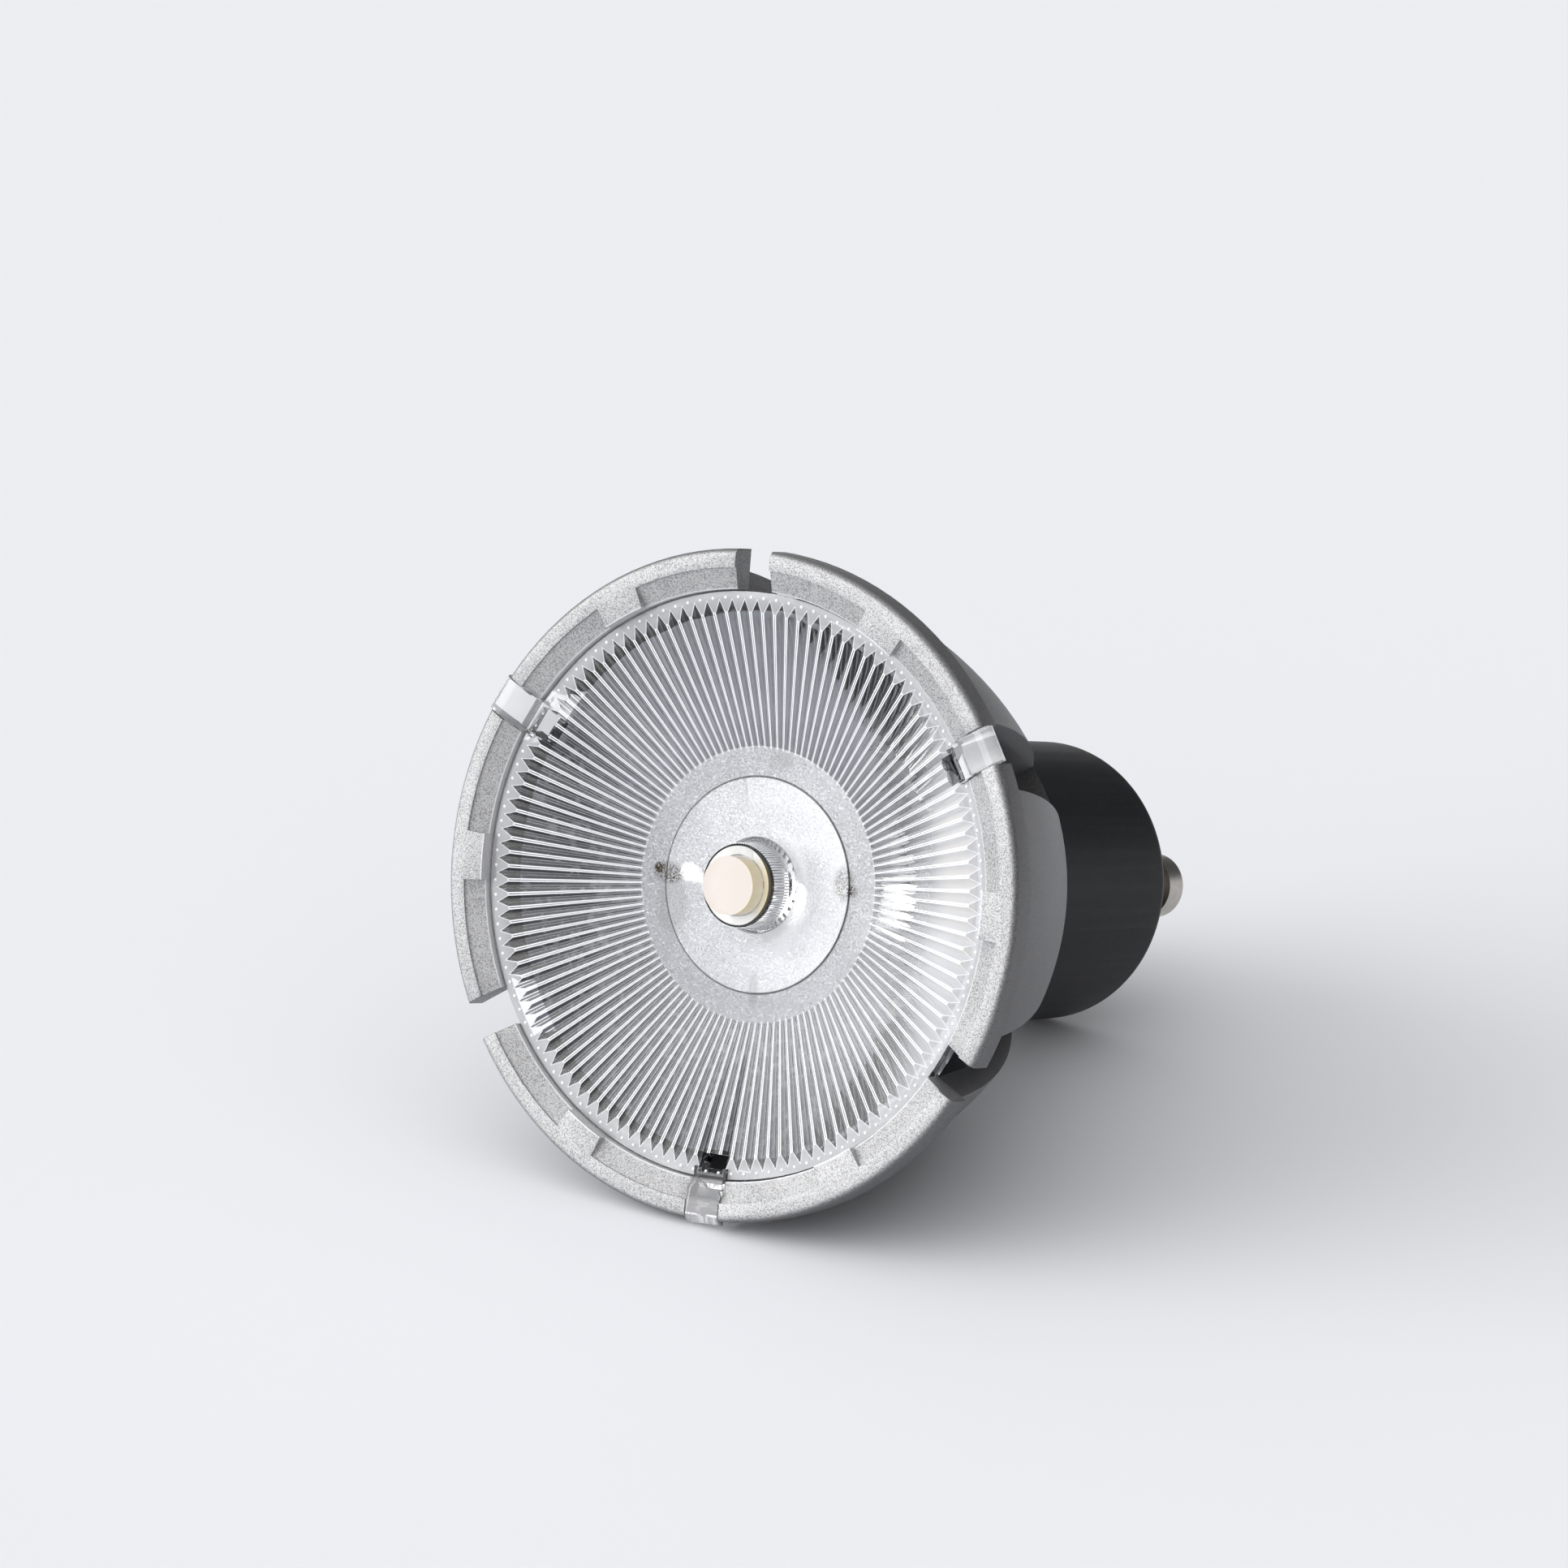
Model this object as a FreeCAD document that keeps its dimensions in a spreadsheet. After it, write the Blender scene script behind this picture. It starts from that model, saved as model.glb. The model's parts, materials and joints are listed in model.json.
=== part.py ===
import FreeCAD, Part
import math
import os
import Sketcher

# Mains-voltage reflector spotlight with a two-pin twist-lock cap, lying on its side.
# The lamp is drawn about its own axis: +Z leaves the front, the rim face is at z = 0,
# the contact pins lie along X and the axial depths below count backwards from the rim.

doc = FreeCAD.newDocument("spotlight_bulb")
sheet = doc.addObject("Spreadsheet::Sheet", "Sizes")

# Driving dimensions in millimetres and degrees.
DRIVING = {
    "lamp_diameter": 50.0,
    "pin_reach": 8.2,
    "fit_gap": 0.1,
    # Die-cast heat sink: rim band, petals and core
    "rim_width": 3.0,
    "rim_round": 0.5,
    "band_thickness": 2.1,
    "recess_depth": 0.65,
    "recess_wall": 0.2,
    "recess_land": 1.4,
    "pad_angle": 9.0,
    "rim_slot_width": 3.0,
    "petal_gap_width": 5.4,
    "petal_inset": 1.4,
    "petal_arc_radius": 43.0,
    "neck_wall": 1.8,
    "neck_lip": 0.6,
    "socket_length": 4.4,
    "ledge_width": 0.8,
    "petal_wall": 3.2,
    "petal_wall_depth": 10.5,
    "cup_floor_radius": 15.0,
    "cup_floor_depth": 13.2,
    "cup_arc_radius": 16.0,
    "petal_root": 0.3,
    "core_thickness": 9.0,
    # Moulded lens with prism ribs
    "lens_gap": 0.15,
    "lens_setback": 1.1,
    "flange_thickness": 1.4,
    "rib_count": 120.0,
    "flange_land": 0.55,
    "rib_inner_radius": 10.85,
    "rib_notch_ratio": 0.953,
    "ridge_share": 0.2,
    "dish_depth": 3.1,
    "disc_step_radius": 8.1,
    "disc_step": 0.08,
    "boss_radius": 3.1,
    "boss_foot_radius": 3.8,
    "boss_height": 2.7,
    "pip_radius": 2.25,
    "pip_height": 1.4,
    "collimator_step": 0.3,
    "collimator_arc": 60.0,
    "collimator_foot": 5.4,
    "collimator_clearance": 1.3,
    "well_radius": 4.7,
    "well_draft": 0.5,
    "well_height": 4.4,
    "well_crown": 1.0,
    "clip_width": 2.8,
    "clip_reach": 0.25,
    "clip_thickness": 1.0,
    "clip_corner": 0.7,
    "barb_width": 4.4,
    "barb_depth": 1.0,
    "window_width": 2.2,
    "window_length": 1.4,
    # White reflector cup between the lens and the light board
    "reflector_gap": 0.4,
    "reflector_lip_gap": 0.6,
    "reflector_wall": 0.6,
    "reflector_land": 0.8,
    # Light engine on the core
    "led_board_radius": 12.0,
    "led_board_thickness": 1.0,
    "pad_thickness": 0.2,
    "led_base_side": 6.0,
    "led_base_thickness": 0.6,
    "dam_radius": 2.8,
    "dam_width": 0.45,
    "dam_height": 0.35,
    "phosphor_height": 0.3,
    "screw_radius": 1.0,
    "screw_length": 4.0,
    "screw_head_radius": 1.9,
    "screw_head_height": 1.0,
    "screw_place": 9.5,
    "lead_radius": 0.5,
    "lead_inset": 1.8,
    "solder_radius": 1.2,
    "solder_height": 0.5,
    "lead_lap": 2.5,
    # Plastic base with its pins
    "base_radius": 11.1,
    "base_draft": 0.27,
    "base_edge_round": 1.2,
    "base_wall": 1.3,
    "end_wall": 1.6,
    "lid_thickness": 0.6,
    "pin_spacing": 10.0,
    "pin_head_radius": 2.5,
    "pin_head_thickness": 2.3,
    "pin_edge_round": 0.35,
    "pin_neck_radius": 1.55,
    "pin_collar_radius": 2.2,
    "pin_collar_thickness": 0.6,
    "pin_tail_radius": 0.8,
    "pin_tail_length": 1.0,
    # Driver inside the base
    "driver_board_length": 20.2,
    "driver_board_thickness": 1.0,
    "driver_board_place": 0.5,
    "driver_board_gap": 0.2,
    "driver_edge_gap": 0.3,
    "tail_gap": 0.4,
    "rail_width": 1.5,
    "rail_thickness": 1.0,
    "rail_length": 15.0,
    "input_lead_radius": 0.4,
    "input_lead_length": 3.0,
    "capacitor_radius": 3.0,
    "capacitor_length": 9.5,
    "inductor_radius": 2.7,
    "inductor_waist": 1.9,
    "inductor_height": 5.0,
    "inductor_flange": 0.9,
    "film_width": 5.4,
    "film_height": 3.2,
    "film_length": 4.8,
    "part_spacing": 0.8,
    "rectifier_width": 4.7,
    "rectifier_height": 2.4,
    "rectifier_length": 3.9,
    "chip_width": 4.9,
    "chip_height": 1.5,
    "chip_length": 3.9,
    "fuse_radius": 1.25,
    "fuse_length": 6.0,
    # Resting attitude on the floor
    "rest_roll": 6.5,
}
for row, (alias, number) in enumerate(DRIVING.items(), start=1):
    sheet.set(f"A{row}", alias)
    sheet.set(f"B{row}", str(number))
    sheet.setAlias(f"B{row}", alias)
doc.recompute()


# A length or angle that knows both its present value and its formula on the sheet.
class Size:
    def __init__(self, value, text):
        self.value = float(value)
        self.text = text

    def __add__(self, other):
        other = as_size(other)
        return Size(self.value + other.value, f"({self.text} + {other.text})")

    def __sub__(self, other):
        other = as_size(other)
        return Size(self.value - other.value, f"({self.text} - {other.text})")

    def __mul__(self, other):
        other = as_size(other)
        return Size(self.value * other.value, f"({self.text} * {other.text})")

    def __truediv__(self, other):
        other = as_size(other)
        return Size(self.value / other.value, f"({self.text} / {other.text})")

    def __neg__(self):
        return Size(-self.value, f"(0 - {self.text})")


def as_size(number):
    return number if isinstance(number, Size) else Size(number, repr(float(number)))


def size(alias):
    return Size(sheet.get(alias), "Sizes." + alias)


def root(amount):
    return Size(math.sqrt(amount.value), f"sqrt({amount.text})")


# Sizes that several pieces share, worked out from the driving ones.
rim_radius = size("lamp_diameter") / 2
bore_radius = rim_radius - size("rim_width")
ledge_radius = bore_radius - size("ledge_width")
petal_radius = rim_radius - size("petal_inset")
lens_radius = bore_radius - size("lens_gap")
rib_tip_radius = lens_radius - size("flange_land")
lens_back = size("lens_setback") + size("flange_thickness")
disc_depth = size("lens_setback") + size("dish_depth")
socket_depth = size("cup_floor_depth") + size("core_thickness")
socket_radius = size("base_radius") + size("fit_gap")
neck_radius = socket_radius + size("neck_wall")
neck_end = socket_depth + size("socket_length")
neck_depth = neck_end - size("neck_lip")
core_radius = neck_radius - size("petal_root")
pad_face = size("cup_floor_depth") - size("pad_thickness")
board_face = pad_face - size("led_board_thickness")
led_face = board_face - size("led_base_thickness")
collimator_mouth = ledge_radius - size("collimator_step")
collimator_end = board_face - size("collimator_clearance")
lid_back = socket_depth + size("lid_thickness")
board_top = lid_back + size("driver_board_gap")
board_bottom = board_top + size("driver_board_length")
tail_end = board_bottom + size("tail_gap")
collar_face = tail_end + size("pin_tail_length")
end_wall_face = collar_face + size("pin_collar_thickness")
base_depth = end_wall_face + size("end_wall")
lamp_length = base_depth + size("pin_reach")
base_end_radius = size("base_radius") - size("base_draft")
cavity_radius = base_end_radius - size("base_wall")
rail_edge = cavity_radius - size("rail_width")
lead_place = cavity_radius - size("lead_inset")
pin_place = size("pin_spacing") / 2
board_front = -size("driver_board_place")
board_rear = board_front - size("driver_board_thickness")
board_half_width = root(cavity_radius * cavity_radius - board_rear * board_rear) - size("driver_edge_gap")
petal_count = 6
clip_count = 3


def origin_feature(body, role):
    return next(item for item in body.Origin.OriginFeatures if item.Role == role)


def new_body(name):
    body = doc.addObject("PartDesign::Body", name)
    body.Label = name
    return body


def new_sketch(body, name, role):
    sketch = body.newObject("Sketcher::SketchObject", name)
    sketch.AttachmentSupport = [(origin_feature(body, role), "")]
    sketch.MapMode = "FlatFace"
    return sketch


def add_rule(sketch, kind, references, amount):
    index = sketch.addConstraint(Sketcher.Constraint(kind, *references, amount.value))
    sketch.setExpression(f"Constraints[{index}]", amount.text)


# One point of a sketch is tied to the sheet across and along; a plain 0 ties it to the axis.
def place_point(sketch, edge, end, across, along):
    if isinstance(across, Size):
        add_rule(sketch, "DistanceX", (-1, 1, edge, end), across)
    else:
        sketch.addConstraint(Sketcher.Constraint("PointOnObject", edge, end, -2))
    if isinstance(along, Size):
        add_rule(sketch, "DistanceY", (-1, 1, edge, end), along)
    else:
        sketch.addConstraint(Sketcher.Constraint("PointOnObject", edge, end, -1))


def arc_centre(start, end, radius, left):
    middle = (start + end) / 2
    chord = end - start
    reach = math.sqrt(max(radius ** 2 - (chord.Length / 2) ** 2, 0.0))
    side = FreeCAD.Vector(-chord.y, chord.x, 0).normalize()
    return middle + side * (reach if left else -reach)


# A closed outline through corner points; bends maps an edge's number to the radius of its arc
# and to whether the arc's centre lies to the left of the way from one corner to the next.
def draw_outline(sketch, corners, bends=None):
    bends = bends or {}
    points = [FreeCAD.Vector(as_size(x).value, as_size(y).value, 0) for x, y in corners]
    starts = []
    ends = []
    for number, start in enumerate(points):
        end = points[(number + 1) % len(points)]
        if number in bends:
            radius, left = bends[number]
            centre = arc_centre(start, end, radius.value, left)
            first, last = (start, end) if left else (end, start)
            from_angle = math.atan2(first.y - centre.y, first.x - centre.x)
            to_angle = math.atan2(last.y - centre.y, last.x - centre.x)
            circle = Part.Circle(centre, FreeCAD.Vector(0, 0, 1), radius.value)
            sketch.addGeometry(Part.ArcOfCircle(circle, from_angle, to_angle), False)
            starts.append(1 if left else 2)
            ends.append(2 if left else 1)
        else:
            sketch.addGeometry(Part.LineSegment(start, end), False)
            starts.append(1)
            ends.append(2)
    for number, (across, along) in enumerate(corners):
        before = (number - 1) % len(corners)
        joint = Sketcher.Constraint("Coincident", before, ends[before], number, starts[number])
        sketch.addConstraint(joint)
        place_point(sketch, number, starts[number], across, along)
        if number in bends:
            add_rule(sketch, "Radius", (number,), bends[number][0])


def draw_circle(sketch, across, along, radius):
    centre = FreeCAD.Vector(as_size(across).value, as_size(along).value, 0)
    circle = Part.Circle(centre, FreeCAD.Vector(0, 0, 1), radius.value)
    edge = sketch.addGeometry(circle, False)
    if across == 0 and along == 0:
        sketch.addConstraint(Sketcher.Constraint("Coincident", edge, 3, -1, 1))
    else:
        place_point(sketch, edge, 3, across, along)
    add_rule(sketch, "Radius", (edge,), radius)


# A solid turned about the lamp axis from an outline of (radius, height) corners, all the way
# round or through a sector to both sides of the sketch plane.
def turn(body, name, corners, bends=None, kind="Revolution", role="XZ_Plane", sector=None):
    sketch = new_sketch(body, name + "_outline", role)
    draw_outline(sketch, corners, bends)
    feature = body.newObject("PartDesign::" + kind, name)
    feature.Profile = sketch
    feature.ReferenceAxis = (sketch, ["V_Axis"])
    if sector is None:
        feature.Angle = 360
    else:
        feature.Midplane = True
        feature.setExpression("Angle", sector.text)
    doc.recompute()
    return feature


# Material added or removed to both sides of a sketch plane through the axis.
def through_plane(body, name, kind, role, corners, width, bends=None):
    sketch = new_sketch(body, name + "_outline", role)
    draw_outline(sketch, corners, bends)
    feature = body.newObject("PartDesign::" + kind, name)
    feature.Profile = sketch
    feature.SideType = "Symmetric"
    feature.setExpression("Length", width.text)
    doc.recompute()
    return feature


# A pocket or pad square to the lamp axis, from one depth for a given length towards the back.
def along_axis(body, name, kind, draw, depth, length):
    sketch = new_sketch(body, name + "_outline", "XY_Plane")
    draw(sketch)
    sketch.setExpression("AttachmentOffset.Base.z", (-depth).text)
    feature = body.newObject("PartDesign::" + kind, name)
    feature.Profile = sketch
    feature.Reversed = kind == "Pad"
    feature.setExpression("Length", length.text)
    doc.recompute()
    return feature


def repeat_round(body, name, features, count):
    pattern = body.newObject("PartDesign::PolarPattern", name)
    pattern.Originals = features
    pattern.Axis = (origin_feature(body, "Z_Axis"), [""])
    pattern.Angle = 360
    pattern.Occurrences = count
    body.Tip = pattern
    doc.recompute()
    return pattern


# The cut must really take material away.
def expect_smaller(body, volume_before, name):
    if body.Shape.Volume >= volume_before - 1e-3:
        raise RuntimeError(name + " removed nothing")


# Die-cast aluminium body: a slotted rim band, six petals and a solid core
def make_heat_sink():
    body = new_body("heat_sink")
    back = -size("band_thickness")
    wall_radius = petal_radius - size("petal_wall") - size("petal_inset") / 2
    floor_level = -size("cup_floor_depth")
    turn(body, "casting", [
        (bore_radius, 0),
        (rim_radius - size("rim_round"), 0),
        (rim_radius, -size("rim_round")),
        (rim_radius, back),
        (petal_radius, back),
        (neck_radius, -neck_depth),
        (neck_radius, -neck_end),
        (socket_radius, -neck_end),
        (socket_radius, -socket_depth),
        (0, -socket_depth),
        (0, floor_level),
        (size("cup_floor_radius"), floor_level),
        (wall_radius, -size("petal_wall_depth")),
        (ledge_radius, -lens_back),
        (bore_radius, -lens_back),
    ], {
        1: (size("rim_round"), False),
        4: (size("petal_arc_radius"), False),
        11: (size("cup_arc_radius"), True),
    })

    volume = body.Shape.Volume
    outside = rim_radius + 3
    gap = through_plane(body, "petal_gap", "Pocket", "YZ_Plane", [
        (core_radius, back),
        (outside, back),
        (outside, -socket_depth - 0.8),
        (core_radius, -socket_depth - 0.8),
    ], size("petal_gap_width"))
    slot = through_plane(body, "rim_slot", "Pocket", "YZ_Plane", [
        (core_radius, as_size(1)),
        (outside, as_size(1)),
        (outside, back - 0.2),
        (core_radius, back - 0.2),
    ], size("rim_slot_width"))
    repeat_round(body, "slots_round", [gap, slot], petal_count)
    expect_smaller(body, volume, "petal_gap")

    volume = body.Shape.Volume
    recess_edge = rim_radius - size("recess_land")
    slope = (size("recess_depth") - size("recess_wall")) / (recess_edge - bore_radius)
    overlap = as_size(0.5)
    recess = turn(body, "rim_recess", [
        (bore_radius - overlap, as_size(1)),
        (recess_edge, as_size(1)),
        (recess_edge, -size("recess_wall")),
        (bore_radius - overlap, -size("recess_depth") - slope * overlap),
    ], kind="Groove", role="YZ_Plane", sector=as_size(360 / petal_count) - size("pad_angle"))
    repeat_round(body, "recesses_round", [recess], petal_count)
    expect_smaller(body, volume, "rim_recess")

    volume = body.Shape.Volume

    def draw_fixings(sketch):
        for side in (1, -1):
            draw_circle(sketch, 0, size("screw_place") * side, size("screw_radius") + 0.05)

    along_axis(body, "screw_holes", "Pocket", draw_fixings, size("cup_floor_depth"),
               size("screw_length") - size("led_board_thickness"))

    def draw_lead_holes(sketch):
        for side in (1, -1):
            draw_circle(sketch, lead_place * side, 0, size("lead_radius") + 0.3)

    along_axis(body, "lead_holes", "Pocket", draw_lead_holes, size("cup_floor_depth"),
               size("core_thickness") + 1)
    expect_smaller(body, volume, "screw_holes")
    return body


# Star-shaped outline of the rib ends at one level: groove tips outwards, and between them the
# narrow crests of the ribs, each a share of the pitch.
def rib_star(tip_radius, height):
    count = int(size("rib_count").value)
    crest_radius = tip_radius * size("rib_notch_ratio").value
    half_crest = size("ridge_share").value / 2
    points = []
    for groove in range(count):
        for radius, turned in ((tip_radius, 0), (crest_radius, 0.5 - half_crest),
                               (crest_radius, 0.5 + half_crest)):
            angle = 2 * math.pi * (groove + turned) / count
            points.append(FreeCAD.Vector(radius * math.cos(angle), radius * math.sin(angle), height))
    return Part.makePolygon(points + points[:1])


# The hollow in front of the ribs: a ruled loft from a large star to a small one.
def make_rib_hollow():
    over = 0.2
    slope = (rib_tip_radius - size("rib_inner_radius")).value / size("dish_depth").value
    top = rib_star(rib_tip_radius.value + slope * over, over - size("lens_setback").value)
    bottom = rib_star(size("rib_inner_radius").value, -disc_depth.value)
    hollow = doc.addObject("Part::Feature", "rib_hollow")
    hollow.Shape = Part.makeLoft([top, bottom], True, True)
    return hollow


# Clear one-piece lens: ribbed dish, collimator behind it, centre boss and three snap clips
def make_lens():
    blank = new_body("lens_blank")
    front = -size("lens_setback")
    well_top = collimator_end - size("well_height")
    well_top_radius = size("well_radius") - size("well_draft")
    crown_radius = (well_top_radius * well_top_radius / size("well_crown") + size("well_crown")) / 2
    turn(blank, "dish", [
        (0, front),
        (lens_radius, front),
        (lens_radius, -lens_back),
        (collimator_mouth, -lens_back),
        (size("collimator_foot"), -collimator_end),
        (size("well_radius"), -collimator_end),
        (well_top_radius, -well_top),
        (0, -well_top - size("well_crown")),
    ], {
        3: (size("collimator_arc"), False),
        6: (crown_radius, False),
    })

    dished = doc.addObject("Part::Cut", "lens_dished")
    dished.Base = blank
    dished.Tool = make_rib_hollow()

    boss = new_body("lens_boss")
    disc_front = -disc_depth + size("disc_step")
    boss_top = -disc_depth + size("boss_height")
    turn(boss, "boss", [
        (0, -disc_depth - 0.3),
        (size("disc_step_radius"), -disc_depth - 0.3),
        (size("disc_step_radius"), disc_front),
        (size("boss_foot_radius"), disc_front),
        (size("boss_radius") + 0.12, disc_front + 0.6),
        (size("boss_radius"), boss_top),
        (size("pip_radius"), boss_top),
        (size("pip_radius") - 0.05, boss_top + size("pip_height")),
        (0, boss_top + size("pip_height")),
    ])

    clips = new_body("lens_clips")
    reach = rim_radius + size("clip_reach")
    below = -size("clip_thickness")
    root = lens_radius - 0.8
    tab = through_plane(clips, "clip_tab", "Pad", "YZ_Plane", [
        (root, front - 0.5),
        (root, front + 0.3),
        (lens_radius, front + 0.3),
        (lens_radius, front + 0.7),
        (lens_radius + 0.7, front + 0.7),
        (lens_radius + 0.7, 0),
        (reach - size("clip_corner"), 0),
        (reach, -size("clip_corner")),
        (reach, below),
        (lens_radius + 0.9, below),
        (lens_radius + 0.9, front - 0.5),
    ], size("clip_width"), {6: (size("clip_corner"), False)})
    barb_face = -size("band_thickness") - size("fit_gap")
    leg_inside = lens_radius - 0.4
    leg_outside = leg_inside + 0.8
    leg = through_plane(clips, "clip_leg", "Pad", "YZ_Plane", [
        (leg_inside, front - 0.3),
        (leg_outside, front - 0.3),
        (leg_outside, barb_face),
        (leg_inside, barb_face),
    ], size("clip_width"))
    barb = through_plane(clips, "clip_barb", "Pad", "YZ_Plane", [
        (leg_inside, barb_face),
        (leg_outside + size("barb_depth"), barb_face),
        (leg_outside + size("barb_depth"), barb_face - 0.4),
        (leg_outside, barb_face - 2),
        (leg_inside, barb_face - 2),
    ], size("barb_width"))
    repeat_round(clips, "clips_round", [tab, leg, barb], clip_count)
    clips.Placement = FreeCAD.Placement(
        FreeCAD.Vector(0, 0, 0), FreeCAD.Rotation(FreeCAD.Vector(0, 0, 1), 180))

    joined = doc.addObject("Part::MultiFuse", "lens_joined")
    joined.Shapes = [dished, boss, clips]

    windows = new_body("lens_windows")
    window_inside = leg_inside - size("window_length")
    window = through_plane(windows, "window", "Pad", "YZ_Plane", [
        (window_inside, as_size(1)),
        (leg_inside, as_size(1)),
        (leg_inside, -lens_back - 3),
        (window_inside, -lens_back - 3),
    ], size("window_width"))
    repeat_round(windows, "windows_round", [window], clip_count)
    windows.Placement = clips.Placement

    lens = doc.addObject("Part::Cut", "lens")
    lens.Label = "lens"
    lens.Base = joined
    lens.Tool = windows
    doc.recompute()
    return lens


# Moulded white cup that lines the casting behind the lens and stands on the light board
def make_reflector_cup():
    body = new_body("reflector_cup")
    mouth = collimator_mouth - size("reflector_lip_gap")
    lip = lens_back + size("reflector_gap") * 2
    foot = size("collimator_foot")
    low = collimator_end + size("reflector_gap")
    turn(body, "cup", [
        (mouth, -lip),
        (foot, -low),
        (foot, -board_face),
        (foot + size("reflector_land"), -board_face),
        (foot + size("reflector_land"), -low - size("reflector_wall")),
        (mouth, -lip - size("reflector_wall")),
    ], {
        0: (size("collimator_arc"), False),
        4: (size("collimator_arc"), True),
    })
    return body


# Deep-drawn plastic base with its end wall, pin holes and the rails that hold the driver
def make_base_shell():
    body = new_body("base_shell")
    edge = size("base_edge_round")
    turn(body, "shell", [
        (size("base_radius") - size("base_wall"), -lid_back),
        (size("base_radius"), -lid_back),
        (size("base_radius"), -neck_end),
        (base_end_radius, -base_depth + edge),
        (base_end_radius - edge, -base_depth),
        (0, -base_depth),
        (0, -end_wall_face),
        (cavity_radius, -end_wall_face),
    ], {3: (edge, False)})

    volume = body.Shape.Volume

    def draw_pin_holes(sketch):
        for side in (1, -1):
            draw_circle(sketch, pin_place * side, 0, size("pin_neck_radius"))

    along_axis(body, "pin_holes", "Pocket", draw_pin_holes, end_wall_face - 1, size("end_wall") + 2)
    expect_smaller(body, volume, "pin_holes")

    rail_top = end_wall_face - size("rail_length")
    outside = cavity_radius + size("base_wall") / 2
    clearance = size("fit_gap") / 2
    front_rail = board_front + clearance
    rear_rail = board_rear - clearance - size("rail_thickness")
    for side in (1, -1):
        for name, low in (("front", front_rail), ("rear", rear_rail)):
            high = low + size("rail_thickness")

            def draw_rail(sketch, side=side, low=low, high=high):
                draw_outline(sketch, [
                    (rail_edge * side, low), (outside * side, low),
                    (outside * side, high), (rail_edge * side, high)])

            along_axis(body, f"rail_{name}_{'right' if side > 0 else 'left'}", "Pad", draw_rail,
                       rail_top, size("rail_length"))
    return body


# Turned nickel-plated brass pin: twist-lock head, neck, inner collar and solder tail
def make_contact_pin(name, side):
    body = new_body(name)
    tip = -lamp_length
    head_back = tip + size("pin_head_thickness")
    edge = size("pin_edge_round")
    turn(body, name + "_turned", [
        (0, tip),
        (size("pin_head_radius") - edge, tip),
        (size("pin_head_radius"), tip + edge),
        (size("pin_head_radius"), head_back),
        (size("pin_neck_radius"), head_back),
        (size("pin_neck_radius"), -end_wall_face),
        (size("pin_collar_radius"), -end_wall_face),
        (size("pin_collar_radius"), -collar_face),
        (size("pin_tail_radius"), -collar_face),
        (size("pin_tail_radius"), -tail_end),
        (0, -tail_end),
    ], {1: (edge, True)})
    body.setExpression("Placement.Base.x", (pin_place * side).text)
    return body


# Round metal-core board, heat pad or lid: a disc with the holes that pass through it
def make_disc(name, radius, face, thickness, holes):
    body = new_body(name)
    along_axis(body, name + "_disc", "Pad", lambda sketch: draw_circle(sketch, 0, 0, radius),
               face, thickness)
    volume = body.Shape.Volume

    def draw_holes(sketch):
        for across, along, hole_radius in holes:
            draw_circle(sketch, across, along, hole_radius)

    along_axis(body, name + "_holes", "Pocket", draw_holes, face - 1, thickness + 2)
    expect_smaller(body, volume, name)
    return body


def fixing_holes():
    holes = []
    for side in (1, -1):
        holes.append((0, size("screw_place") * side, size("screw_radius") + 0.1))
        holes.append((lead_place * side, 0, size("lead_radius") + 0.2))
    return holes


def lead_holes():
    return [(lead_place * side, 0, size("lead_radius") + 0.2) for side in (1, -1)]


# Chip-on-board emitter: ceramic base, silicone dam and phosphor fill
def make_led():
    base = doc.addObject("Part::Box", "led_base")
    side = size("led_base_side")
    for axis, amount in (("Length", side), ("Width", side), ("Height", size("led_base_thickness"))):
        base.setExpression(axis, amount.text)
    base.setExpression("Placement.Base.x", (-side / 2).text)
    base.setExpression("Placement.Base.y", (-side / 2).text)
    base.setExpression("Placement.Base.z", (-board_face).text)

    fill_radius = size("dam_radius") - size("dam_width")
    dam = new_body("led_dam")
    turn(dam, "dam_ring", [
        (fill_radius, -led_face),
        (size("dam_radius"), -led_face),
        (size("dam_radius"), -led_face + size("dam_height")),
        (fill_radius, -led_face + size("dam_height")),
    ])
    fill = doc.addObject("Part::Cylinder", "led_phosphor")
    fill.setExpression("Radius", fill_radius.text)
    fill.setExpression("Height", size("phosphor_height").text)
    fill.setExpression("Placement.Base.z", (-led_face).text)
    return [base, dam, fill]


def make_screw(name, side):
    body = new_body(name)
    turn(body, name + "_turned", [
        (0, -board_face + size("screw_head_height")),
        (size("screw_head_radius") - 0.5, -board_face + size("screw_head_height")),
        (size("screw_head_radius"), -board_face + 0.4),
        (size("screw_head_radius"), -board_face),
        (size("screw_radius"), -board_face),
        (size("screw_radius"), -board_face - size("screw_length") + 0.3),
        (size("screw_radius") - 0.3, -board_face - size("screw_length")),
        (0, -board_face - size("screw_length")),
    ])
    volume = body.Shape.Volume
    reach = size("screw_head_radius") - 0.7
    for number, role in enumerate(("XZ_Plane", "YZ_Plane")):
        through_plane(body, f"{name}_cross_{number}", "Pocket", role, [
            (-reach, -board_face + size("screw_head_height") - 0.6),
            (reach, -board_face + size("screw_head_height") - 0.6),
            (reach, -board_face + size("screw_head_height") + 1),
            (-reach, -board_face + size("screw_head_height") + 1),
        ], as_size(0.5))
    expect_smaller(body, volume, name)
    body.setExpression("Placement.Base.y", (size("screw_place") * side).text)
    return body


# Stiff lead from the driver board up to its solder pad on the light board
def make_led_lead(name, side):
    body = new_body(name)
    top = -board_face + size("solder_height")
    turn(body, name + "_turned", [
        (0, -board_top - size("lead_lap")),
        (size("lead_radius"), -board_top - size("lead_lap")),
        (size("lead_radius"), -board_face),
        (size("solder_radius"), -board_face),
        (size("lead_radius"), top),
        (0, top),
    ])
    body.setExpression("Placement.Base.x", (lead_place * side).text)
    return body


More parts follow.
